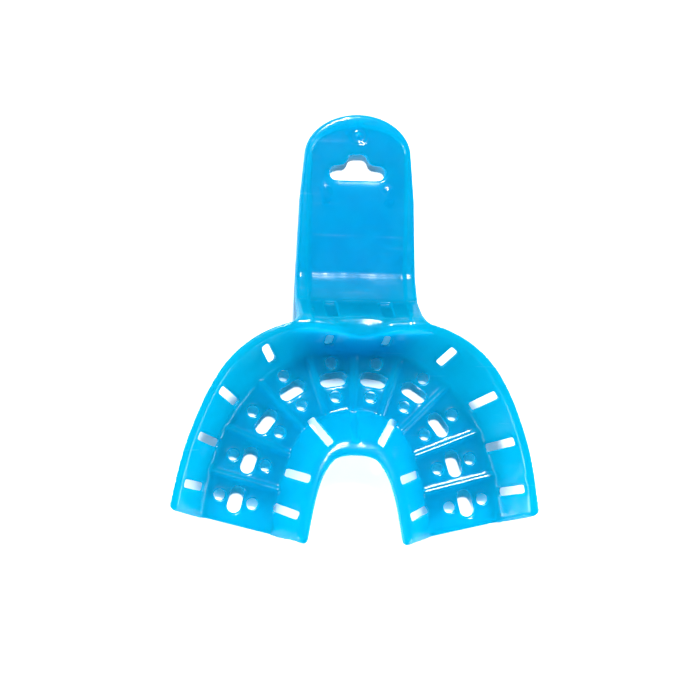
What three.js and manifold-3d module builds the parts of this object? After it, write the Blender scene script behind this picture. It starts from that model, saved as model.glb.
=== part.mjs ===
// Lower-arch dental impression tray: one injection moulding, a perforated horseshoe trough
// with a flat handle at the front.
// Millimetres. +Z is up out of the trough, +Y points along the handle, X = 0 is the mirror plane.
// The origin is the centre of the whole footprint, on the surface that the tray lies on.

import * as THREE from 'three';
import { ConvexGeometry } from 'three/addons/geometries/ConvexGeometry.js';
import { mergeVertices } from 'three/addons/utils/BufferGeometryUtils.js';
import Module from 'manifold-3d';

const wasm = await Module();
wasm.setup();

// ---------------------------------------------------------------- driving dimensions

const WALL = 1.8; // thickness of the trough's outer wall in plan
const FLOOR = { top: 2.2, under: 1.0 }; // the floor's two faces above the table
const SKIRT = 1.5; // width of the feet along the floor's two edges, which hold it off the table
const RIM_HEIGHT = { front: 14, end: 8.6 }; // top of the outer wall above the table
const TONGUE_HEIGHT = { front: 8.6, end: 10.6 }; // top of the inner wall above the table
const TONGUE_STEP = { height: 0.8, slope: 0.15 }; // upright step at the foot of the inner wall
const LIP = { start: 0.66, middle: 0.78, end: 0.9, drop: 0.45, thickness: 1.9 }; // inner wall's edge
const FLOOR_FILLET = { share: 0.12, reach: 0.5, height: 0.9 }; // foot of the outer wall, inside
const RIM_BEVEL = 0.4; // on the outer wall's two top edges

const HANDLE_END = 46.7; // Y of the handle's far end
const HANDLE_SHOULDER = { x: 11.65, y: 37.6 }; // where the rounded far end begins
const HANDLE_SIDE = [
  { x: 12.5, y: 28.3 },
  { x: 13.1, y: 11.7 },
  { x: 13.4, y: 3.4 },
  { x: 14.4, y: 1.6 },
  { x: 14.4, y: -1.2 },
]; // the right side from the shoulder to the ears inside the rim
const HANDLE_WEB = 2.0; // thickness of the handle's plate
const HANDLE_RIM = 0.5; // how far the rim stands above the plate
const HANDLE_RIM_WIDTH = 0.9; // along the two sides
const HANDLE_END_RIM_WIDTH = 2.6; // round the far end
const BEND = 11.7; // Y where the flat handle turns up into the neck
const KNEE = new THREE.Vector2(5.9, 5.0); // Y and Z where the neck turns steeper
const CREST = new THREE.Vector2(2.6, 13.2); // Y and Z of the neck's top, behind the rim

const HOLE_RADIUS = 1.25; // round holes in the floor
const HOLE_PITCH = 3.7; // from the long hole's middle to each round hole
const LONG_HOLE = { length: 5.9, width: 3.0 };
const SLOT_WIDTH = 1.85; // every slot in the two walls
const POCKET = { x: 6.05, y: 4.3, width: 2.7, length: 3.0, depth: 0.8 }; // blind, two in the neck
const RIB = { width: 1.5, height: 0.55 };
const NOTCH = { radius: 13, depth: 1.1, length: 8 }; // shallow dip in the front rim
const GROOVE = { wide: 0.9, narrow: 0.45, depth: 0.5, start: -18.2, end: -24.6 }; // tongue side
const HANG = { low: 32.4, high: 35.65, top: 38.0, reach: 4.5, crown: 1.1 }; // hanging hole
const GATE = { y: 42.4, radius: 2.0, depth: 0.3, nub: 0.5 };
const SIZE_PAD = { x: 6.85, y: 29.1, width: 1.9, length: 3.7, height: 0.25 };
const TALL = 40; // longer than any cut needs to be
const STEPS_PER_BAY = 4; // lofted slices between two neighbouring ribs

// The trough is lofted through stations from the middle of the front to an open end.
// Station 0 is the middle; 1 to 4 are the ribs between pads; 5 is the open end.
// Each row holds one plan point for the rim, the floor's two edges and the tongue-side edge.
const STATIONS = [
  { rim: [0.0, 0.9], foot: [0.0, -5.2], heel: [0.0, -17.6], edge: [0.0, -27.2] },
  { rim: [12.8, 2.1], foot: [10.2, -5.9], heel: [6.0, -18.9], edge: [3.6, -27.7] },
  { rim: [27.5, -5.1], foot: [20.6, -11.9], heel: [10.4, -22.1], edge: [5.4, -29.1] },
  { rim: [35.5, -18.8], foot: [27.7, -21.7], heel: [13.4, -27.4], edge: [7.1, -31.9] },
  { rim: [38.7, -28.8], foot: [30.9, -31.1], heel: [15.6, -35.2], edge: [8.8, -37.4] },
  { rim: [40.8, -39.6], foot: [32.5, -41.55], heel: [17.2, -45.15], edge: [10.5, -46.7] },
];

// The five pads of one half, from the front: middle of the long hole, and the turn of the row
// of holes away from the handle's line.
const PADS = [
  { x: 4.4, y: -10.9, turn: 9 },
  { x: 13.3, y: -13.4, turn: 33 },
  { x: 18.9, y: -20.3, turn: 53.5 },
  { x: 22.4, y: -28.7, turn: 72 },
  { x: 25.2, y: -37.2, turn: 75 },
];

// Slots of one half: middle, length in plan, and turn away from the handle's line.
const OUTER_SLOTS = [
  { x: 6.25, y: -2.2, length: 1.9, turn: 0 },
  { x: 19.5, y: -5.4, length: 4.1, turn: 38 },
  { x: 27.9, y: -14.8, length: 5.3, turn: 57 },
  { x: 32.0, y: -24.3, length: 5.3, turn: 70 },
  { x: 34.9, y: -34.2, length: 4.6, turn: 78 },
];
const TONGUE_SLOTS = [
  { x: 7.3, y: -22.2, length: 6.6, turn: 36 },
  { x: 12.2, y: -31.8, length: 4.8, turn: 74 },
  { x: 14.5, y: -39.6, length: 4.8, turn: 69 },
];

// ---------------------------------------------------------------- solids and booleans

/** A closed three.js geometry as a Manifold solid. */
function solid(geometry, matrix = new THREE.Matrix4()) {
  const bare = geometry.clone().applyMatrix4(matrix);
  bare.deleteAttribute('normal');
  bare.deleteAttribute('uv');
  const merged = mergeVertices(bare, 1e-4);
  return new wasm.Manifold(
    new wasm.Mesh({
      numProp: 3,
      vertProperties: new Float32Array(merged.attributes.position.array),
      triVerts: new Uint32Array(merged.index.array),
    })
  );
}

/** The Manifold solid back as a three.js geometry. */
function geometryOf(body) {
  const mesh = body.getMesh();
  const geometry = new THREE.BufferGeometry();
  geometry.setAttribute('position', new THREE.BufferAttribute(new Float32Array(mesh.vertProperties), 3));
  geometry.setIndex(new THREE.BufferAttribute(new Uint32Array(mesh.triVerts), 1));
  return geometry;
}

/** An outline in plan, raised into an upright prism from one height to another. */
function upright(shape, low, high, curveSegments = 6) {
  const geometry = new THREE.ExtrudeGeometry(shape, {
    depth: high - low,
    bevelEnabled: false,
    curveSegments,
  });
  return solid(geometry, new THREE.Matrix4().makeTranslation(0, 0, low));
}

/** Moves a solid drawn round the origin to a point in plan, turned away from the Y axis. */
function placed(body, { x, y, turn = 0 }, side = 1) {
  return body.rotate([0, 0, -turn * side]).translate([x * side, y, 0]);
}

/** One solid made of many. */
function joined(bodies) {
  return bodies.reduce((sum, body) => sum.add(body));
}

// ---------------------------------------------------------------- trough

/** A plan curve through one named point of every station, from the left end to the right end. */
function guide(name) {
  const half = STATIONS.map((station) => new THREE.Vector3(...station[name], 0));
  const mirrored = half.slice(1).reverse().map((point) => new THREE.Vector3(-point.x, point.y, 0));
  return new THREE.CatmullRomCurve3([...mirrored, ...half]);
}

const GUIDES = { rim: guide('rim'), foot: guide('foot'), heel: guide('heel'), edge: guide('edge') };

/** A height that changes from the front of the arch to its open ends. */
function heightAt({ front, end }, away) {
  return THREE.MathUtils.lerp(front, end, away ** 2);
}

/** The four plan points and the two walls' heights at a place along the arch, from 0 to 1. */
function slice(t) {
  const away = Math.abs(t - 0.5) * 2;
  return {
    rim: GUIDES.rim.getPoint(t),
    foot: GUIDES.foot.getPoint(t),
    heel: GUIDES.heel.getPoint(t),
    edge: GUIDES.edge.getPoint(t),
    height: heightAt(RIM_HEIGHT, away),
    top: heightAt(TONGUE_HEIGHT, away),
  };
}

/** A point a distance past one plan point, on the line from another, at a height. */
function past(from, to, distance, height) {
  const along = to.clone().sub(from).setLength(distance);
  return to.clone().add(along).setZ(height);
}

/** A point part of the way between two plan points, at a height. */
function between(from, to, share, height) {
  return from.clone().lerp(to, share).setZ(height);
}

/** The inside face of a slice, from the outer rim over the floor to the tongue-side edge. */
function insideFace({ rim, foot, heel, edge, height, top }) {
  return [
    past(foot, rim, RIM_BEVEL - WALL, height),
    past(foot, rim, -WALL, height - RIM_BEVEL),
    between(foot, rim, FLOOR_FILLET.share, FLOOR.top + FLOOR_FILLET.height),
    past(rim, foot, FLOOR_FILLET.reach, FLOOR.top),
    past(edge, heel, TONGUE_STEP.slope, FLOOR.top),
    past(edge, heel, 0, FLOOR.top + TONGUE_STEP.height),
    between(heel, edge, LIP.start, top - LIP.drop),
    between(heel, edge, LIP.middle, top),
    between(heel, edge, LIP.end, top - LIP.drop / 2),
    past(heel, edge, 0, top - LIP.thickness / 2),
  ];
}

/** The outside face of a slice, from the tongue-side edge under the floor to the outer rim. */
function outsideFace({ rim, foot, heel, edge, height, top }) {
  return [
    past(heel, edge, -LIP.drop, top - LIP.thickness),
    between(heel, edge, LIP.start, top - LIP.thickness - LIP.drop),
    past(edge, heel, -SKIRT / 2, 0),
    past(edge, heel, SKIRT / 2, 0),
    past(edge, heel, SKIRT / 2, FLOOR.under),
    past(rim, foot, SKIRT / 2, FLOOR.under),
    past(rim, foot, SKIRT / 2, 0),
    past(rim, foot, -SKIRT / 2, 0),
    past(foot, rim, 0, height - RIM_BEVEL),
    past(foot, rim, -RIM_BEVEL, height),
  ];
}

/** The space above the inside face of a slice, open to well above the rim. */
function spaceAbove(cut) {
  const aboveEdge = past(cut.heel, cut.edge, 0, TALL);
  const aboveRim = past(cut.foot, cut.rim, RIM_BEVEL - WALL, TALL);
  return [...insideFace(cut), aboveEdge, aboveRim];
}

/** The triangles that close an end slice, each following the outline's own direction. */
function capTriangles(ring) {
  const flat = ring.map((point) => new THREE.Vector2(point.x, point.z));
  const turn = Math.sign(THREE.ShapeUtils.area(flat));
  return THREE.ShapeUtils.triangulateShape(flat, []).map(([a, b, c]) => {
    const same = Math.sign(THREE.ShapeUtils.area([flat[a], flat[b], flat[c]])) === turn;
    return same ? [a, b, c] : [a, c, b];
  });
}

/** A closed solid through the same outline on every slice of the arch. */
function loft(outline) {
  const count = STEPS_PER_BAY * (STATIONS.length - 1) * 2;
  const rings = [];
  for (let i = 0; i <= count; i++) {
    rings.push(outline(slice(i / count)));
  }
  const size = rings[0].length;
  const positions = rings.flat().flatMap((point) => [point.x, point.y, point.z]);
  const index = [];
  for (let i = 0; i < count; i++) {
    for (let j = 0; j < size; j++) {
      const a = i * size + j;
      const b = i * size + ((j + 1) % size);
      index.push(a, b, b + size, a, b + size, a + size);
    }
  }
  const last = count * size;
  for (const [a, b, c] of capTriangles(rings[0])) {
    index.push(a, c, b, last + a, last + b, last + c);
  }
  const geometry = new THREE.BufferGeometry();
  geometry.setAttribute('position', new THREE.Float32BufferAttribute(positions, 3));
  geometry.setIndex(index);
  return facingOut(geometry);
}

/** A lofted geometry as a solid, turned right side out if it was wound inside out. */
function facingOut(geometry) {
  const body = solid(geometry);
  if (body.volume() > 0) {
    return body;
  }
  const index = geometry.index.array;
  for (let i = 0; i < index.length; i += 3) {
    [index[i + 1], index[i + 2]] = [index[i + 2], index[i + 1]];
  }
  return solid(geometry);
}

/** A raised rib across the floor, from the foot of the outer wall to the heel of the inner one. */
function floorRib(station, side) {
  const { foot, heel } = STATIONS[station];
  const start = new THREE.Vector3(foot[0] * side, foot[1], FLOOR.top);
  const end = new THREE.Vector3(heel[0] * side, heel[1], FLOOR.top);
  const half = RIB.width / 2;
  const section = new THREE.Shape([
    new THREE.Vector2(-half, -half),
    new THREE.Vector2(half, -half),
    new THREE.Vector2(half, RIB.height / 2),
    new THREE.Vector2(half / 2, RIB.height),
    new THREE.Vector2(-half / 2, RIB.height),
    new THREE.Vector2(-half, RIB.height / 2),
  ]);
  const along = end.clone().sub(start);
  const length = along.length();
  along.normalize();
  const up = new THREE.Vector3(0, 0, 1);
  const across = new THREE.Vector3().crossVectors(up, along);
  const matrix = new THREE.Matrix4().makeBasis(across, up, along).setPosition(start);
  const geometry = new THREE.ExtrudeGeometry(section, { depth: length, bevelEnabled: false });
  return facingOut(geometry.applyMatrix4(matrix));
}

/** Every rib of the floor: one in the middle and four on each side. */
function floorRibs() {
  const ribs = [floorRib(0, 1)];
  for (const side of [-1, 1]) {
    for (let station = 1; station < STATIONS.length - 1; station++) {
      ribs.push(floorRib(station, side));
    }
  }
  return joined(ribs);
}

// ---------------------------------------------------------------- handle and neck

/** The handle's plan outline with its half-elliptical far end, drawn a little inside itself. */
function handleOutline(inset = 0, endInset = 0) {
  const radius = HANDLE_SHOULDER.x - inset;
  const reach = HANDLE_END - endInset - HANDLE_SHOULDER.y;
  const shape = new THREE.Shape();
  shape.absellipse(0, HANDLE_SHOULDER.y, radius, reach, 0, Math.PI, false, 0);
  for (const { x, y } of HANDLE_SIDE) {
    shape.lineTo(inset - x, y);
  }
  for (const { x, y } of HANDLE_SIDE.toReversed()) {
    shape.lineTo(x - inset, y);
  }
  return shape;
}

/** A curve drawn on to a shape, rounding the corner at a point. */
function roundCorner(shape, corner, before, after) {
  shape.lineTo(corner.x + before[0], corner.y + before[1]);
  shape.quadraticCurveTo(corner.x, corner.y, corner.x + after[0], corner.y + after[1]);
}

/** The neck and handle from the side: Y outward and Z up, with the bends rounded. */
function handleSideView(raised) {
  const shape = new THREE.Shape();
  const top = HANDLE_WEB + raised;
  const back = HANDLE_SIDE[HANDLE_SIDE.length - 1].y;
  shape.moveTo(TALL * 2, 0);
  shape.lineTo(TALL * 2, top);
  roundCorner(shape, new THREE.Vector2(BEND, top), [0.9, 0], [-0.9, 0.47]);
  roundCorner(shape, KNEE.clone().add(new THREE.Vector2(0, raised)), [0.8, -0.4], [-0.35, 1.0]);
  roundCorner(shape, CREST, [0.5, -1.4], [-1.4, 0]);
  shape.lineTo(back, CREST.y);
  shape.lineTo(back, CREST.y - HANDLE_WEB);
  shape.lineTo(CREST.x - 1.6, CREST.y - HANDLE_WEB);
  shape.lineTo(KNEE.x - 2.0, KNEE.y - 1.5);
  shape.lineTo(BEND - 1.1, 0);
  return shape;
}

/** The side view as a solid across the whole width. */
function handleBar(raised) {
  const geometry = new THREE.ExtrudeGeometry(handleSideView(raised), {
    depth: TALL,
    bevelEnabled: false,
    curveSegments: 4,
  });
  const matrix = new THREE.Matrix4().makeBasis(
    new THREE.Vector3(0, 1, 0),
    new THREE.Vector3(0, 0, 1),
    new THREE.Vector3(1, 0, 0)
  );
  matrix.setPosition(-TALL / 2, 0, 0);
  return solid(geometry, matrix);
}

/** Hanging hole for a shop hook: a flat slot with round ends and a hump in the middle. */
function hangingHole() {
  const { low, high, top, reach, crown } = HANG;
  const middle = (low + high) / 2;
  const radius = (high - low) / 2;
  const flank = (reach + crown) / 2;
  const shape = new THREE.Shape();
  shape.absarc(reach, middle, radius, -Math.PI / 2, Math.PI / 2, false);
  shape.bezierCurveTo(flank, high, flank, top, crown, top);
  shape.lineTo(-crown, top);
  shape.bezierCurveTo(-flank, top, -flank, high, -reach, high);
  shape.absarc(-reach, middle, radius, Math.PI / 2, (Math.PI * 3) / 2, false);
  return upright(shape, -1, TALL, 8);
}

/** A flat pill on each side of the handle where the tray's size would be marked. */
function sizePads() {
  const half = SIZE_PAD.width / 2;
  const reach = SIZE_PAD.length / 2 - half;
  const pill = new THREE.Shape();
  pill.absarc(0, reach, half, 0, Math.PI, false);
  pill.absarc(0, -reach, half, Math.PI, Math.PI * 2, false);
  const body = upright(pill, HANDLE_WEB / 2, HANDLE_WEB + SIZE_PAD.height, 5);
  return joined([1, -1].map((side) => placed(body, SIZE_PAD, side)));
}

/** The round dimple left by the moulding gate, with the stub of the runner in its middle. */
function gateRecess() {
  const circle = new THREE.Shape().absarc(0, 0, GATE.radius, 0, Math.PI * 2, false);
  const stub = new THREE.Shape().absarc(0, 0, GATE.nub, 0, Math.PI * 2, false);
  const recess = upright(circle, HANDLE_WEB - GATE.depth, TALL, 10);
  return recess.subtract(upright(stub, 0, HANDLE_WEB, 5)).translate([0, GATE.y, 0]);
}

function handle() {
  const outline = upright(handleOutline(), -1, TALL, 14);
  const inside = upright(handleOutline(HANDLE_RIM_WIDTH, HANDLE_END_RIM_WIDTH), -1, TALL, 14);
  const plate = handleBar(0).intersect(outline);
  const rim = handleBar(HANDLE_RIM).intersect(outline.subtract(inside));
  return plate.add(rim).add(sizePads()).subtract(gateRecess()).subtract(hangingHole());
}

// ---------------------------------------------------------------- cuts

/** The three holes of a pad, drawn round the middle of the long one. */
function padHoles() {
  const round = new THREE.Shape().absarc(0, 0, HOLE_RADIUS, 0, Math.PI * 2, false);
  const end = LONG_HOLE.width / 2;
  const reach = LONG_HOLE.length / 2 - end;
  const long = new THREE.Shape();
  long.absarc(reach, 0, end, -Math.PI / 2, Math.PI / 2, false);
  long.absarc(-reach, 0, end, Math.PI / 2, (Math.PI * 3) / 2, false);
  const drill = upright(round, -1, TALL, 8);
  return joined([
    upright(long, -1, TALL, 6),
    drill.translate([0, HOLE_PITCH, 0]),
    drill.translate([0, -HOLE_PITCH, 0]),
  ]);
}

/** A slot of a given length in plan, cut straight down. */
function slotCut(width, length) {
  return solid(new THREE.BoxGeometry(width, length, TALL * 2));
}

/** A blind pocket in the neck's steep upper face, with its floor parallel to that face. */
function neckPocket(side) {
  const behind = handleBar(0).translate([0, -POCKET.depth, 0]);
  return placed(slotCut(POCKET.width, POCKET.length), POCKET, side).subtract(behind);
}

/** The shallow dip that clears the frenum, across the front rim and the neck's top. */
function notchCut() {
  const cylinder = new THREE.CylinderGeometry(NOTCH.radius, NOTCH.radius, NOTCH.length, 72);
  return solid(cylinder).translate([0, 0, RIM_HEIGHT.front + NOTCH.radius - NOTCH.depth]);
}

/** The tapered groove down the middle of the front inner wall, its floor following the slope. */
function tongueGroove() {
  const { wide, narrow, depth, start, end } = GROOVE;
  const foot = FLOOR.top + TONGUE_STEP.height - depth;
  const crown = TONGUE_HEIGHT.front - depth;
  const corner = (x, y, z) => new THREE.Vector3(x, y, z);
  const ring = [
    corner(-wide, start, foot),
    corner(wide, start, foot),
    corner(narrow, end, crown),
    corner(-narrow, end, crown),
  ];
  const lid = ring.map((point) => point.clone().setZ(TALL));
  const wedge = new ConvexGeometry([...ring, ...lid]);
  return facingOut(wedge);
}

/** Every cut through the moulding. */
function allCuts() {
  const cuts = [notchCut(), tongueGroove()];
  for (const side of [-1, 1]) {
    for (const pad of PADS) {
      cuts.push(placed(padHoles(), pad, side));
    }
    for (const slot of [...OUTER_SLOTS, ...TONGUE_SLOTS]) {
      cuts.push(placed(slotCut(SLOT_WIDTH, slot.length), slot, side));
    }
    cuts.push(neckPocket(side));
  }
  return joined(cuts);
}

// ---------------------------------------------------------------- assembly

const trough = loft((cut) => [...insideFace(cut), ...outsideFace(cut)]);
const troughSpace = loft(spaceAbove);
const moulding = trough.add(floorRibs()).add(handle().subtract(troughSpace)).subtract(allCuts());

const bluePlastic = new THREE.MeshStandardMaterial({
  name: 'blue_plastic',
  color: new THREE.Color(0x00b0eb),
  roughness: 0.3,
  metalness: 0,
});

const tray = new THREE.Mesh(geometryOf(moulding), bluePlastic);
tray.name = 'tray_moulding';

const part = new THREE.Group();
part.name = 'impression_tray';
part.add(tray);

export default part;
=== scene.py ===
"""A blue perforated dental impression tray lying on a pale table, seen from almost straight above.

The tray is one moulding. Its fine surface is drawn as a distance field, in millimetres, from the
same dimensions as the CAD, with the fillets and soft edges of a moulded part, and it stands for the
CAD node. The frame is the CAD's: X across the arch, +Y along the handle, +Z up out of the trough.
"""

import math

import bpy
import numpy as np
import openvdb
from mathutils import Matrix, Vector


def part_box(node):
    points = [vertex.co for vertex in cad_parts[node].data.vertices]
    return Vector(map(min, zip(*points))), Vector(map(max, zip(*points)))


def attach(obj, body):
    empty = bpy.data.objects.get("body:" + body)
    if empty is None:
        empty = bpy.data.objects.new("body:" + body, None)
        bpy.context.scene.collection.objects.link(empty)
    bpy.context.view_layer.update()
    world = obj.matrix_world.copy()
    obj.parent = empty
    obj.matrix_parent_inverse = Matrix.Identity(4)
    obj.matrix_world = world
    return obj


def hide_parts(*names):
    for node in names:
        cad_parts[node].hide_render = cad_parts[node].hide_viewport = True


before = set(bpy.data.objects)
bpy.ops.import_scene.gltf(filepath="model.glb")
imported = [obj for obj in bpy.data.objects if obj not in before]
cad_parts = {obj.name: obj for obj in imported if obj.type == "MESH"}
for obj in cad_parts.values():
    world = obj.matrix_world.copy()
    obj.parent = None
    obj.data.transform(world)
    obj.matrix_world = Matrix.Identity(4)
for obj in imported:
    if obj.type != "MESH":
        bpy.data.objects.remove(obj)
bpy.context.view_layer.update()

MM = 0.001  # metres in a millimetre
BODY = "root"
NODE = "tray_moulding"
SLOT = "blue_plastic"

# ---------------------------------------------------------------- camera

CAMERA_DISTANCE = 1.2
CAMERA_LEAN = math.radians(8.5)  # from the vertical, towards -X
CAMERA_ROLL = math.radians(1.19)
VIEW_WIDTH = 0.1522  # width of the table that the picture spans
AIM = Vector((-0.0006, -0.0044, 0.0))
SENSOR = 36.0
NEAREST_SEEN = 0.01
FARTHEST_SEEN = 10.0


def add_camera():
    """The view of the photograph: from above, leaning a little to the left."""
    lens = bpy.data.cameras.new("camera")
    lens.sensor_width = SENSOR
    lens.lens = SENSOR * CAMERA_DISTANCE / VIEW_WIDTH
    lens.clip_start = NEAREST_SEEN
    lens.clip_end = FARTHEST_SEEN
    camera = bpy.data.objects.new("camera", lens)
    bpy.context.scene.collection.objects.link(camera)
    turn = Matrix.Rotation(-CAMERA_LEAN, 4, "Y") @ Matrix.Rotation(CAMERA_ROLL, 4, "Z")
    camera.matrix_world = Matrix.Translation(AIM) @ turn @ Matrix.Translation((0, 0, CAMERA_DISTANCE))
    bpy.context.scene.camera = camera


add_camera()

# ---------------------------------------------------------------- table and light

TABLE_SIDE = 3.0
TABLE_TOP = -0.1 * MM  # a hair below the tray, which renders far too bright where the two touch
TABLE_COLOUR = (0.9, 0.9, 0.9, 1)
TABLE_ROUGHNESS = 0.6
TABLE_SPECULAR = 0.2
WORLD_STRENGTH = 0.02

# Each light's place and size in metres, and its power in watts.
LIGHTS = {
    "key": ((0.0, 0.53, 0.65), (0.12, 0.12), 13.5),
    "fill": ((0.0, 0.34, 0.77), (0.14, 0.14), 11.0),
    "left": ((-0.70, -0.30, 0.22), (0.40, 0.15), 4.0),
    "right": ((0.70, -0.30, 0.22), (0.40, 0.15), 4.0),
    "front": ((0.0, -0.75, 0.20), (0.50, 0.12), 22.0),
}


def add_table():
    """A plain white table under the tray."""
    half = TABLE_SIDE / 2
    mesh = bpy.data.meshes.new("table")
    plan = [(-half, -half), (half, -half), (half, half), (-half, half)]
    corners = [(x, y, TABLE_TOP) for x, y in plan]
    mesh.from_pydata(corners, [], [(0, 1, 2, 3)])
    material = bpy.data.materials.new("white_table")
    material.use_nodes = True
    shader = material.node_tree.nodes["Principled BSDF"]
    shader.inputs["Base Color"].default_value = TABLE_COLOUR
    shader.inputs["Roughness"].default_value = TABLE_ROUGHNESS
    shader.inputs["Specular IOR Level"].default_value = TABLE_SPECULAR
    mesh.materials.append(material)
    table = bpy.data.objects.new("table", mesh)
    bpy.context.scene.collection.objects.link(table)


def add_light(name, place, size, power):
    """A softbox at a place, facing the tray."""
    light = bpy.data.lights.new(name, "AREA")
    light.shape = "RECTANGLE"
    light.size, light.size_y = size
    light.energy = power
    lamp = bpy.data.objects.new(name, light)
    bpy.context.scene.collection.objects.link(lamp)
    lamp.location = place
    lamp.rotation_euler = Vector(place).to_track_quat("Z", "Y").to_euler()


def add_studio():
    """A key and a fill beyond the handle's end, low softboxes on the other sides, a dim surround."""
    for name, (place, size, power) in LIGHTS.items():
        add_light(name, place, size, power)
    world = bpy.data.worlds.new("surround")
    world.use_nodes = True
    world.node_tree.nodes["Background"].inputs["Color"].default_value = (1, 1, 1, 1)
    world.node_tree.nodes["Background"].inputs["Strength"].default_value = WORLD_STRENGTH
    bpy.context.scene.world = world
    bpy.context.scene.view_settings.view_transform = "Standard"


add_table()
add_studio()

# ---------------------------------------------------------------- dimensions, in millimetres

WALL = 1.8  # thickness of the trough's outer wall in plan
FLOOR_TOP = 2.2
FLOOR_UNDER = 1.0  # the floor's underside stands this far above the table
SKIRT_HALF = 0.75  # half the width of the feet along the floor's two edges
RIM_HEIGHT_FRONT = 14.0
RIM_HEIGHT_END = 8.6
TONGUE_HEIGHT_FRONT = 8.6
TONGUE_HEIGHT_END = 10.6
TONGUE_WALL_STEP = 0.8  # upright step at the foot of the inner wall

# The trough's plan, one row for each station from the middle of the front to an open end:
# the rim, the floor's two edges and the tongue-side edge. Stations 0 to 4 carry ribs.
RIM = [(0.0, 0.9), (12.8, 2.1), (27.5, -5.1), (35.5, -18.8), (38.7, -28.8), (40.8, -39.6)]
FOOT = [(0.0, -5.2), (10.2, -5.9), (20.6, -11.9), (27.7, -21.7), (30.9, -31.1), (32.5, -41.55)]
HEEL = [(0.0, -17.6), (6.0, -18.9), (10.4, -22.1), (13.4, -27.4), (15.6, -35.2), (17.2, -45.15)]
EDGE = [(0.0, -27.2), (3.6, -27.7), (5.4, -29.1), (7.1, -31.9), (8.8, -37.4), (10.5, -46.7)]
SLICES = 160  # loft slices over the whole arch
PAST_END = 0.2  # how far the loft runs on past each end, in stations

# Pads and slots of one half: place, turn away from the handle's line and, for slots, length.
PADS = [(4.4, -10.9, 9), (13.3, -13.4, 33), (18.9, -20.3, 53.5), (22.4, -28.7, 72), (25.2, -37.2, 75)]
HOLE_RADIUS = 1.25
HOLE_PITCH = 3.7
LONG_HOLE_REACH = 1.45  # half of the straight part
LONG_HOLE_RADIUS = 1.5
SLOT_WIDTH = 1.85
OUTER_SLOTS = [
    (6.25, -2.2, 0, 1.9),
    (19.5, -5.4, 38, 4.1),
    (27.9, -14.8, 57, 5.3),
    (32.0, -24.3, 70, 5.3),
    (34.9, -34.2, 78, 4.6),
]
TONGUE_SLOTS = [(7.3, -22.2, 36, 6.6), (12.2, -31.8, 74, 4.8), (14.5, -39.6, 69, 4.8)]
POCKET = (6.05, 4.3)  # blind, two in the neck's steep face
POCKET_HALF = (1.35, 1.5)
POCKET_DEPTH = 0.8
RIB_HALF = 0.6
RIB_HEIGHT = 0.55
NOTCH_RADIUS = 13.0
NOTCH_DEPTH = 1.1

HANDLE_END = 46.7
HANDLE_WEB = 2.0
HANDLE_RIM = 0.5
HANDLE_RIM_WIDTH = 0.9
HANDLE_END_RIM_WIDTH = 2.6
BEND_Y = 11.7
KNEE = (5.9, 5.0)
CREST = (2.6, 13.2)
GATE_Y = 42.4
GATE_RADIUS = 2.0
GATE_DEPTH = 0.3
GATE_NUB = 0.5
SIZE_PAD = (6.85, 29.1)
SIZE_PAD_HALF = 0.95
SIZE_PAD_REACH = 0.9
SIZE_PAD_HEIGHT = 0.25

HANDLE_HALF = 11.65
SHOULDER_Y = 37.6  # where the far end's half ellipse begins
HANDLE_SIDE = [(14.4, -1.2), (14.4, 1.6), (13.4, 3.4), (13.1, 11.7), (12.5, 28.3)]
HANG_LOW = 32.4
HANG_HIGH = 35.65
HANG_REACH = 4.5
HANG_HUMP_HALF = 1.1
HANG_HUMP_TOP = 38.0

COLLAR_RADIUS = 1.85  # low rim round each round hole
COLLAR_HEIGHT = 0.25
SLOT_CORNER = 0.35
EDGE_FILLET = 0.5  # round the edges of holes and slots
RELIEF_SLOPE = 0.35  # width of the slope at the edge of a raised mark
FAR = 100.0

TONGUE_SLOPE = 0.7  # share of the inner wall's width in plan that slopes, before its flat lip
HEEL_SET_BACK = 0.15  # how far the foot of the inner wall's step stands out into the floor
LIP_THICKNESS = 1.9  # upright, at the inner wall's edge
LIP_SLOPE_THICKNESS = 2.2  # upright, at the top of its slope
# How far each corner of the trough's cross-section is rounded.
ROUND = {
    "rim": 0.6,
    "floor": 1.6,
    "step_foot": 0.3,
    "step_top": 0.5,
    "slope": 1.6,
    "lip": 0.8,
    "lip_under": 0.5,
    "slope_under": 1.0,
    "feet": 0.6,
}
UNDER_FLOOR_ROUND = 0.5
UNDER_FLOOR_FILLET = 0.3
RIB_FILLET = 0.7
END_ROUND = 1.6
NECK_CUT_ROUND = 0.3  # where the neck is cut away inside the rim
NECK_FILLET = 1.0
NOTCH_ROUND = 0.6
GROOVE_HALF = 0.9  # at the heel
GROOVE_TAPER = 0.5
GROOVE_DEPTH = 0.6
GROOVE_ROUND = 0.4
HANDLE_TOP_ROUND = 0.8
HANDLE_UNDER_ROUND = 0.6
END_BAND_ROUND = 1.0
POCKET_ROUND = 0.3

# The handle's and neck's bends from the side, each as steps in Y and Z from one point of the
# profile: where the curve starts, the corner it is drawn towards and where it ends.
TOP_BEND = [(0.9, 0.0), (0.0, 0.0), (-0.9, 0.47)]
TOP_KNEE = [(0.8, -0.4), (0.0, 0.0), (-0.35, 1.0)]
TOP_CREST = [(0.5, -1.4), (0.0, 0.0), (-1.4, 0.0)]
UNDER_BEND = [(-0.6, 0.0), (-1.6, 0.0), (-3.2, 0.5)]
UNDER_KNEE = [(-0.6, -2.0), (-1.9, -1.7), (-2.3, 0.0)]
UNDER_CREST = 1.6  # how far the underside's top corner lies behind the crest
HANDLE_BACK = -1.2  # Y where the neck's top ends, inside the rim

HANG_OVERLAP = 0.3  # how far the hump's curve starts inside the slot, and bends above it
HANG_FLANK_BEND = 1.0
HANG_SHOULDER = (2.1, 37.2)
HANG_CROWN_BEND = 1.7

# ---------------------------------------------------------------- the grid that the field is drawn on

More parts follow.
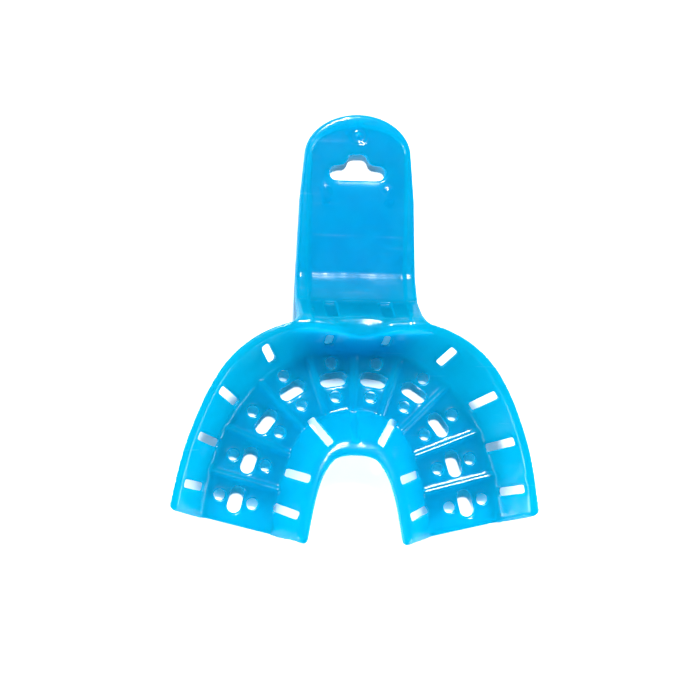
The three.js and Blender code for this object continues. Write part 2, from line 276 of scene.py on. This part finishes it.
VOXEL = 0.25
MARGIN = 6  # voxels round the tray
BAND = 8.0  # voxels each side of the trough's surface that hold a true distance
cad_low, cad_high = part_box(NODE)
LOWEST = [math.floor(side / MM / VOXEL) - MARGIN for side in cad_low]
HIGHEST = [math.ceil(side / MM / VOXEL) + MARGIN for side in cad_high]
AXES = [np.arange(a, b + 1, dtype=np.float32) * VOXEL for a, b in zip(LOWEST, HIGHEST)]
X = AXES[0][:, None, None]
Y = AXES[1][None, :, None]
Z = AXES[2][None, None, :]


def smooth_max(a, b, soft):
    """The larger of two distances, with the edge between their surfaces rounded."""
    near = np.maximum(soft - np.abs(a - b), 0) / soft
    return np.maximum(a, b) + near * near * soft / 4


def smooth_min(a, b, soft):
    """The smaller of two distances, with the corner between their surfaces filled."""
    return -smooth_max(-a, -b, soft)


def turned(x, y, degrees, side):
    """Plan coordinates about a point, the second one along a line turned away from Y."""
    angle = math.radians(degrees)
    from_x, from_y = X * side - x, Y - y
    along = from_x * math.sin(angle) + from_y * math.cos(angle)
    across = from_x * math.cos(angle) - from_y * math.sin(angle)
    return across, along


def rectangle(u, v, half_u, half_v, corner):
    """Distance to a rectangle with round corners."""
    over_u = np.abs(u) - half_u + corner
    over_v = np.abs(v) - half_v + corner
    outside = np.hypot(np.maximum(over_u, 0), np.maximum(over_v, 0))
    return outside + np.minimum(np.maximum(over_u, over_v), 0) - corner


def pill(u, v, reach, radius):
    """Distance to a rod with round ends, lying along u."""
    return np.hypot(np.maximum(np.abs(u) - reach, 0), v) - radius


def polygon(u, v, corners):
    """Signed distance to a closed outline, negative inside."""
    squared = np.full(np.broadcast_shapes(u.shape, v.shape), FAR * FAR, np.float32)
    inside = np.zeros(squared.shape, bool)
    for (au, av), (bu, bv) in zip(corners, corners[1:] + corners[:1]):
        du, dv = bu - au, bv - av
        share = np.clip(((u - au) * du + (v - av) * dv) / (du * du + dv * dv), 0, 1)
        squared = np.minimum(squared, (u - au - du * share) ** 2 + (v - av - dv * share) ** 2)
        if dv:
            crosses = (v >= min(av, bv)) & (v < max(av, bv)) & (u < au + (v - av) * du / dv)
            inside ^= crosses
    return np.where(inside, -1, 1) * np.sqrt(squared)


def curve_through(points, count=8):
    """A quadratic curve from the first point to the third, drawn towards the second."""
    start, bend, end = (np.array(point, float) for point in points)
    shares = np.linspace(0, 1, count)[:, None]
    curve = start * (1 - shares) ** 2 + bend * 2 * shares * (1 - shares) + end * shares**2
    return [tuple(point) for point in curve]


# ---------------------------------------------------------------- trough


def spline(knots, at):
    """A natural cubic spline through knots one apart, at places counted in knots."""
    knots = np.array(knots, float)
    count = len(knots)
    system = 4 * np.eye(count) + np.eye(count, k=1) + np.eye(count, k=-1)
    system[0, :2] = 1, 0
    system[-1, -2:] = 0, 1
    right = np.zeros_like(knots)
    right[1:-1] = 6 * (knots[2:] - 2 * knots[1:-1] + knots[:-2])
    bend = np.linalg.solve(system, right)
    start = np.clip(np.floor(at).astype(int), 0, count - 2)
    b = (at - start)[:, None]
    a = 1 - b
    line = a * knots[start] + b * knots[start + 1]
    return line + ((a**3 - a) * bend[start] + (b**3 - b) * bend[start + 1]) / 6


def guide(half, at):
    """A plan curve through one row of stations and its mirror image, with a height of 0."""
    left = [(-x, y) for x, y in half[:0:-1]]
    flat = spline(left + half, at)
    return np.column_stack([flat, np.zeros(len(at))])


def towards(start, end, distance):
    """Points at a distance from the first curve, on the lines to the second."""
    line = end - start
    return start + line / np.linalg.norm(line, axis=1)[:, None] * distance


def raised(points, height):
    """The same points at a height."""
    lifted = points.copy()
    lifted[:, 2] = height
    return lifted


def trough_profile(at):
    """The corners of the trough's cross-section on every slice, each with how far it is rounded."""
    rim, foot, heel, edge = (guide(half, at) for half in (RIM, FOOT, HEEL, EDGE))
    middle = len(RIM) - 1
    away = np.clip(np.abs(at - middle) / middle, 0, 1)
    height = RIM_HEIGHT_FRONT + (RIM_HEIGHT_END - RIM_HEIGHT_FRONT) * away**2
    top = TONGUE_HEIGHT_FRONT + (TONGUE_HEIGHT_END - TONGUE_HEIGHT_FRONT) * away**2
    slope = heel + (edge - heel) * TONGUE_SLOPE
    return [
        (raised(rim, height), ROUND["rim"]),
        (raised(towards(rim, foot, WALL), height), ROUND["rim"]),
        (raised(foot, FLOOR_TOP), ROUND["floor"]),
        (raised(towards(heel, edge, -HEEL_SET_BACK), FLOOR_TOP), ROUND["step_foot"]),
        (raised(heel, FLOOR_TOP + TONGUE_WALL_STEP), ROUND["step_top"]),
        (raised(slope, top), ROUND["slope"]),
        (raised(edge, top), ROUND["lip"]),
        (raised(edge, top - LIP_THICKNESS), ROUND["lip_under"]),
        (raised(slope, top - LIP_SLOPE_THICKNESS), ROUND["slope_under"]),
        (raised(towards(heel, edge, SKIRT_HALF), 0), ROUND["feet"]),
        (raised(towards(foot, rim, SKIRT_HALF), 0), ROUND["feet"]),
    ]


def rounded_ring(profile, count=6):
    """Every slice's outline with each corner replaced by a short curve, as slices of points."""
    ring = []
    for i, (corner, reach) in enumerate(profile):
        before = towards(corner, profile[i - 1][0], reach)
        after = towards(corner, profile[(i + 1) % len(profile)][0], reach)
        for share in np.linspace(0, 1, count):
            ring.append(before * (1 - share) ** 2 + corner * 2 * share * (1 - share) + after * share**2)
    return np.stack(ring, axis=1)


def field_of(points, quads, triangles):
    """The distance to a closed mesh, sampled on the grid."""
    transform = openvdb.createLinearTransform(voxelSize=VOXEL)
    level = openvdb.FloatGrid.createLevelSetFromPolygons(
        points.astype(np.float32),
        triangles=np.array(triangles, np.uint32),
        quads=np.array(quads, np.uint32),
        transform=transform,
        halfWidth=BAND,
    )
    field = np.zeros([len(axis) for axis in AXES], np.float32)
    level.copyToArray(field, ijk=tuple(LOWEST))
    return field


def trough():
    """The horseshoe trough, lofted a little past both ends and then cut off straight."""
    bays = 2 * (len(RIM) - 1)
    at = np.linspace(-PAST_END, bays + PAST_END, SLICES)
    rings = rounded_ring(trough_profile(at))
    size = rings.shape[1]
    i, j = np.meshgrid(np.arange(SLICES - 1), np.arange(size), indexing="ij")
    a, b = i * size + j, i * size + (j + 1) % size
    quads = np.stack([a, b, b + size, a + size], axis=-1).reshape(-1, 4)
    centres = rings[[0, -1]].mean(axis=1)
    first, last = SLICES * size, (SLICES - 1) * size
    j = np.arange(size)
    near = np.column_stack([(j + 1) % size, j, np.full(size, first)])
    far = np.column_stack([last + j, last + (j + 1) % size, np.full(size, first + 1)])
    points = np.concatenate([rings.reshape(-1, 3), centres])
    return field_of(points, quads, np.concatenate([near, far]))


def inside_rim():
    """Distance in plan to the opening inside the outer rim, negative over the trough."""
    at = np.linspace(0, 2 * (len(RIM) - 1), SLICES)
    inner = towards(guide(RIM, at), guide(FOOT, at), WALL)
    corners = [(float(x), float(y)) for x, y, _ in inner] + [(0.0, -FAR)]
    return polygon(X[:, :, 0], Y[:, :, 0], corners)[:, :, None]


def under_floor():
    """Distance to the shallow hollow between the feet, under the floor."""
    at = np.linspace(-PAST_END, 2 * (len(FOOT) - 1) + PAST_END, SLICES)
    foot, heel = guide(FOOT, at), guide(HEEL, at)
    outer = towards(foot, heel, SKIRT_HALF)
    inner = towards(heel, foot, SKIRT_HALF)
    corners = [(float(x), float(y)) for x, y, _ in [*outer, *inner[::-1]]]
    plan = polygon(X[:, :, 0], Y[:, :, 0], corners)[:, :, None]
    return smooth_max(plan, Z - FLOOR_UNDER, UNDER_FLOOR_ROUND)


def past_ends():
    """Distance past the straight line across each open end, negative inside the trough."""
    (edge_x, edge_y), (rim_x, rim_y) = EDGE[-1], RIM[-1]
    length = math.hypot(rim_x - edge_x, rim_y - edge_y)
    across, along = (rim_x - edge_x) / length, (rim_y - edge_y) / length
    return (np.abs(X) - edge_x) * along - (Y - edge_y) * across


def floor_ribs():
    """The raised ribs across the floor, one in the middle and four on each side."""
    ribs = FAR
    for foot, heel in list(zip(FOOT, HEEL))[:-1]:
        along_x, along_y = foot[0] - heel[0], foot[1] - heel[1]
        length = math.hypot(along_x, along_y)
        turn = math.degrees(math.atan2(along_x, along_y))
        middle_x, middle_y = (foot[0] + heel[0]) / 2, (foot[1] + heel[1]) / 2
        for side in (-1, 1):
            across, along = turned(middle_x, middle_y, turn, side)
            ribs = np.minimum(ribs, pill(along, across, length / 2, 0))
    half_height = (FLOOR_TOP + RIB_HEIGHT - FLOOR_UNDER) / 2
    return rectangle(ribs, Z - FLOOR_UNDER - half_height, RIB_HALF, half_height, RIB_HALF)


def hole_rims():
    """A low rounded collar round every round hole, as a height above the floor."""
    nearest = FAR
    for x, y, turn in PADS:
        for side in (-1, 1):
            across, along = turned(x, y, turn, side)
            nearest = np.minimum(nearest, np.hypot(across, np.abs(along) - HOLE_PITCH))
    share = np.clip((COLLAR_RADIUS - nearest) / (COLLAR_RADIUS - HOLE_RADIUS), 0, 1)
    return COLLAR_HEIGHT * share * share * (3 - 2 * share)


# ---------------------------------------------------------------- handle and neck


def handle_outline():
    """The handle's plan outline, widening to the ears where it meets the rim."""
    angles = np.linspace(0, math.pi, 33)
    end = [(HANDLE_HALF * math.cos(a), SHOULDER_Y + (HANDLE_END - SHOULDER_Y) * math.sin(a)) for a in angles]
    left = [(-x, y) for x, y in reversed(HANDLE_SIDE)]
    return end + left + HANDLE_SIDE


def bend_at(y, z, steps):
    """A rounded bend of the side profile, drawn through steps from one point of it."""
    return curve_through([(y + along, z + up) for along, up in steps])


def neck_top():
    """The handle's and neck's upper surface from the side, from the far end to behind the rim."""
    return [
        (FAR, HANDLE_WEB),
        *bend_at(BEND_Y, HANDLE_WEB, TOP_BEND),
        *bend_at(*KNEE, TOP_KNEE),
        *bend_at(*CREST, TOP_CREST),
        (HANDLE_BACK, CREST[1]),
    ]


def neck_underside():
    """The same for the lower surface."""
    return [
        (FAR, 0.0),
        *bend_at(BEND_Y, 0.0, UNDER_BEND),
        *bend_at(*KNEE, UNDER_KNEE),
        (CREST[0] - UNDER_CREST, CREST[1] - HANDLE_WEB),
        (HANDLE_BACK, CREST[1] - HANDLE_WEB),
    ]


def step_across(distance):
    """0 before the edge of a raised mark and 1 past it, with the mark's sloping side between."""
    return np.clip(distance / RELIEF_SLOPE + 0.5, 0, 1)


def handle_relief(plan):
    """How far the handle's top stands above its plate: the rim, the marks and the gate."""
    end_band = smooth_max(plan + HANDLE_RIM_WIDTH, inside_end_band(), END_BAND_ROUND)
    rim = step_across(end_band)
    pads = FAR
    for side in (-1, 1):
        pads = np.minimum(pads, pill(Y - SIZE_PAD[1], X * side - SIZE_PAD[0], SIZE_PAD_REACH, SIZE_PAD_HALF))
    from_gate = np.hypot(X, Y - GATE_Y)
    dimple = step_across(GATE_RADIUS - from_gate)
    nub = step_across(GATE_NUB - from_gate)
    relief = HANDLE_RIM * rim + SIZE_PAD_HEIGHT * step_across(-pads)
    return relief * (1 - dimple) - GATE_DEPTH * dimple + 2 * GATE_DEPTH * nub


def inside_end_band():
    """Distance outward from the inner edge of the wide rim round the far end."""
    reach_x = HANDLE_HALF - HANDLE_RIM_WIDTH
    reach_y = HANDLE_END - HANDLE_END_RIM_WIDTH - SHOULDER_Y
    ellipse = np.hypot(X / reach_x, np.maximum(Y - SHOULDER_Y, 0) / reach_y) - 1
    return ellipse * reach_y


def hanging_hole():
    """Distance to the hanging hole: a flat slot with round ends and a hump in the middle."""
    slot = pill(X, Y - (HANG_LOW + HANG_HIGH) / 2, HANG_REACH, (HANG_HIGH - HANG_LOW) / 2)
    start = (HANG_REACH, HANG_HIGH - HANG_OVERLAP)
    flank = (HANG_HUMP_HALF + HANG_FLANK_BEND, HANG_HIGH + HANG_OVERLAP)
    crown = (HANG_HUMP_HALF, HANG_HUMP_TOP)
    right = curve_through([start, flank, HANG_SHOULDER])
    right += curve_through([HANG_SHOULDER, (HANG_CROWN_BEND, HANG_HUMP_TOP), crown], 5)[1:]
    left = [(-x, y) for x, y in reversed(right)]
    hump = polygon(X[:, :, 0], Y[:, :, 0], right + left)[:, :, None]
    return np.minimum(slot, hump)


def below_neck_top(y):
    """Distance to everything below the upper surface, at places along the handle."""
    top = neck_top()
    return polygon(y[0], Z[0], top + [(-FAR, top[-1][1]), (-FAR, -FAR), (FAR, -FAR)])[None]


def neck_pockets():
    """Distance to the two blind pockets, with floors parallel to the neck's upper surface."""
    across, along = np.abs(X) - POCKET[0], Y - POCKET[1]
    return np.maximum(rectangle(across, along, *POCKET_HALF, SLOT_CORNER), -below_neck_top(Y + POCKET_DEPTH))


def handle():
    """The flat handle, its bend and the neck up to the front rim."""
    plan = polygon(X[:, :, 0], Y[:, :, 0], handle_outline())[:, :, None]
    below_top = below_neck_top(Y)
    under = neck_underside()
    above_under = polygon(Y[0], Z[0], under + [(-FAR, under[-1][1]), (-FAR, FAR), (FAR, FAR)])[None]
    bar = smooth_max(plan, below_top - handle_relief(plan), HANDLE_TOP_ROUND)
    bar = smooth_max(bar, above_under, HANDLE_UNDER_ROUND)
    bar = smooth_max(bar, -neck_pockets(), POCKET_ROUND)
    return smooth_max(bar, -hanging_hole(), EDGE_FILLET)


# ---------------------------------------------------------------- cuts


def floor_holes():
    """Distance to the nearest hole of the pads."""
    nearest = FAR
    for x, y, turn in PADS:
        for side in (-1, 1):
            across, along = turned(x, y, turn, side)
            round_hole = np.hypot(across, np.abs(along) - HOLE_PITCH) - HOLE_RADIUS
            long_hole = pill(across, along, LONG_HOLE_REACH, LONG_HOLE_RADIUS)
            nearest = np.minimum(nearest, np.minimum(round_hole, long_hole))
    return nearest


def wall_slots():
    """Distance to the nearest slot of the two walls."""
    nearest = FAR
    for x, y, turn, length in OUTER_SLOTS + TONGUE_SLOTS:
        for side in (-1, 1):
            across, along = turned(x, y, turn, side)
            nearest = np.minimum(nearest, rectangle(across, along, SLOT_WIDTH / 2, length / 2, SLOT_CORNER))
    return nearest


def front_notch():
    """Distance to the round bar that leaves the shallow dip in the front rim."""
    return np.hypot(X, Z - RIM_HEIGHT_FRONT - NOTCH_RADIUS + NOTCH_DEPTH) - NOTCH_RADIUS


def tongue_groove():
    """Distance to the tapered groove down the middle of the front inner wall."""
    heel_y, edge_y = HEEL[0][1], EDGE[0][1]
    share = np.clip((heel_y - Y) / (heel_y - edge_y), 0, 1)
    half = GROOVE_HALF - GROOVE_TAPER * share
    step = FLOOR_TOP + TONGUE_WALL_STEP
    floor = step + (TONGUE_HEIGHT_FRONT - step) * share / TONGUE_SLOPE - GROOVE_DEPTH
    return smooth_max(np.maximum(np.abs(X) - half, Y - heel_y), floor - Z, GROOVE_ROUND)


def tray_field():
    """Signed distance to the whole moulding, sampled on the grid."""
    body = trough()
    body = body - hole_rims() * np.clip(Z - FLOOR_UNDER, 0, 1)
    body = smooth_max(body, -under_floor(), UNDER_FLOOR_FILLET)
    body = smooth_min(body, floor_ribs(), RIB_FILLET)
    body = smooth_max(body, past_ends(), END_ROUND)
    neck = smooth_max(handle(), -inside_rim(), NECK_CUT_ROUND)
    body = smooth_min(body, neck, NECK_FILLET)
    body = smooth_max(body, -front_notch(), NOTCH_ROUND)
    body = smooth_max(body, -tongue_groove(), GROOVE_ROUND)
    body = smooth_max(body, -floor_holes(), EDGE_FILLET)
    return smooth_max(body, -wall_slots(), EDGE_FILLET)


# ---------------------------------------------------------------- surface

ADAPTIVITY = 0.15  # how far flat regions are merged into larger faces


def sampled(field, points):
    """The field's value at points counted in voxels, blended from the eight samples round each."""
    low = np.floor(points).astype(int)
    share = points - low
    total = np.zeros(len(points))
    for corner in np.ndindex(2, 2, 2):
        weight = np.prod(np.where(corner, share, 1 - share), axis=1)
        i, j, k = (low + corner).T
        total += weight * field[i, j, k]
    return total


def tray_mesh():
    """The field's zero surface as a smooth-shaded mesh in metres."""
    field = tray_field()
    grid = openvdb.FloatGrid(FAR)
    grid.copyFromArray(field)
    points, triangles, quads = grid.convertToPolygons(0.0, ADAPTIVITY)
    slopes = np.column_stack([sampled(slope, points) for slope in np.gradient(field)])
    normals = slopes / np.linalg.norm(slopes, axis=1)[:, None]
    places = (points + LOWEST) * VOXEL * MM
    faces = triangles.tolist() + quads.tolist()
    mesh = bpy.data.meshes.new(NODE)
    mesh.from_pydata(places.tolist(), [], faces)
    mesh.shade_smooth()
    mesh.normals_split_custom_set_from_vertices(normals.tolist())
    return mesh


tray = bpy.data.objects.new("tray", tray_mesh())
bpy.context.scene.collection.objects.link(tray)

# ---------------------------------------------------------------- blue plastic

PLASTIC_LIGHT = (0.0003, 0.21, 0.26, 1)  # the mottle's two shades
PLASTIC_DARK = (0.0002, 0.165, 0.215, 1)
PLASTIC_THROUGH = (0.0003, 0.65, 0.87, 1)  # light that has come through the plastic
TRANSLUCENT_SHARE = 0.72
MOTTLE_SCALE = 260  # noise cells in a metre, as every scale below
GLOSS_SCALE = 90
SCUFF_SCALE = 55
GRAIN_SCALE = 2400
WAVE_SCALE = 170
MOTTLE_NOISE = (0.35, 0.65)  # the part of a noise's range that is used
GLOSS_NOISE = (0.3, 0.7)
GLOSS_ROUGHNESS = (0.10, 0.2)
SCUFF_NOISE = (0.6, 0.72)
SCUFF_ROUGHNESS = (0, 0.14)
SCUFF_STRETCH = (1, 14, 1)  # thin lines across the handle
SPECULAR_LEVEL = 0.7
WAVE_STRENGTH = 0.35
WAVE_HEIGHT = 0.4 * MM
GRAIN_STRENGTH = 0.12
GRAIN_HEIGHT = 0.05 * MM


def noise(nodes, links, scale, detail, stretch=(1, 1, 1)):
    """A noise value fixed to the tray, with cells that can be drawn out along an axis."""
    place = nodes.new("ShaderNodeTexCoord")
    mapping = nodes.new("ShaderNodeMapping")
    mapping.inputs["Scale"].default_value = stretch
    texture = nodes.new("ShaderNodeTexNoise")
    texture.inputs["Scale"].default_value = scale
    texture.inputs["Detail"].default_value = detail
    links.new(place.outputs["Object"], mapping.inputs["Vector"])
    links.new(mapping.outputs["Vector"], texture.inputs["Vector"])
    return texture.outputs["Fac"]


def spread(nodes, links, value, across, onto):
    """A value's range mapped onto another one."""
    mapped = nodes.new("ShaderNodeMapRange")
    mapped.inputs["From Min"].default_value, mapped.inputs["From Max"].default_value = across
    mapped.inputs["To Min"].default_value, mapped.inputs["To Max"].default_value = onto
    links.new(value, mapped.inputs["Value"])
    return mapped.outputs["Result"]


def joined(nodes, links, operation, first, second):
    """Two values put together by a maths operation."""
    node = nodes.new("ShaderNodeMath")
    node.operation = operation
    links.new(first, node.inputs[0])
    links.new(second, node.inputs[1])
    return node.outputs["Value"]


def raised_by(nodes, links, height, strength, distance, under=None):
    """A surface normal bent by a height, on top of another bend if there is one."""
    bump = nodes.new("ShaderNodeBump")
    bump.inputs["Strength"].default_value = strength
    bump.inputs["Distance"].default_value = distance
    links.new(height, bump.inputs["Height"])
    if under:
        links.new(under, bump.inputs["Normal"])
    return bump.outputs["Normal"]


def blue_plastic():
    """Glossy, slightly translucent blue plastic: mottled, unevenly polished and faintly scuffed."""
    material = bpy.data.materials.new(SLOT)
    material.use_nodes = True
    nodes, links = material.node_tree.nodes, material.node_tree.links
    shader = nodes["Principled BSDF"]

    mottle = spread(nodes, links, noise(nodes, links, MOTTLE_SCALE, 3), MOTTLE_NOISE, (0, 1))
    shade = nodes.new("ShaderNodeMix")
    shade.data_type = "RGBA"
    shade.inputs["A"].default_value = PLASTIC_DARK
    shade.inputs["B"].default_value = PLASTIC_LIGHT
    links.new(mottle, shade.inputs["Factor"])
    links.new(shade.outputs["Result"], shader.inputs["Base Color"])

    gloss = spread(nodes, links, noise(nodes, links, GLOSS_SCALE, 4), GLOSS_NOISE, GLOSS_ROUGHNESS)
    scuffs = noise(nodes, links, SCUFF_SCALE, 6, SCUFF_STRETCH)
    scuffs = spread(nodes, links, scuffs, SCUFF_NOISE, SCUFF_ROUGHNESS)
    links.new(joined(nodes, links, "ADD", gloss, scuffs), shader.inputs["Roughness"])
    shader.inputs["Specular IOR Level"].default_value = SPECULAR_LEVEL

    waves = raised_by(nodes, links, noise(nodes, links, WAVE_SCALE, 2), WAVE_STRENGTH, WAVE_HEIGHT)
    grain = noise(nodes, links, GRAIN_SCALE, 3)
    surface = raised_by(nodes, links, grain, GRAIN_STRENGTH, GRAIN_HEIGHT, waves)
    links.new(surface, shader.inputs["Normal"])

    through = nodes.new("ShaderNodeBsdfTranslucent")
    through.inputs["Color"].default_value = PLASTIC_THROUGH
    mix = nodes.new("ShaderNodeMixShader")
    mix.inputs["Fac"].default_value = TRANSLUCENT_SHARE
    links.new(shader.outputs["BSDF"], mix.inputs[1])
    links.new(through.outputs["BSDF"], mix.inputs[2])
    links.new(mix.outputs["Shader"], nodes["Material Output"].inputs["Surface"])
    return material


tray.data.materials.append(blue_plastic())

# ---------------------------------------------------------------- lights kept to one piece


def light_only(lamp_name, piece):
    """Keeps a light's effect to one piece, so that the tray and the table can be balanced."""
    lit = bpy.data.collections.new("lit_by_" + lamp_name)
    lit.objects.link(piece)
    bpy.data.objects[lamp_name].light_linking.receiver_collection = lit


light_only("fill", tray)
light_only("front", bpy.data.objects["table"])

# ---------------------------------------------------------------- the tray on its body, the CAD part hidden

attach(tray, BODY)
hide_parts(NODE)
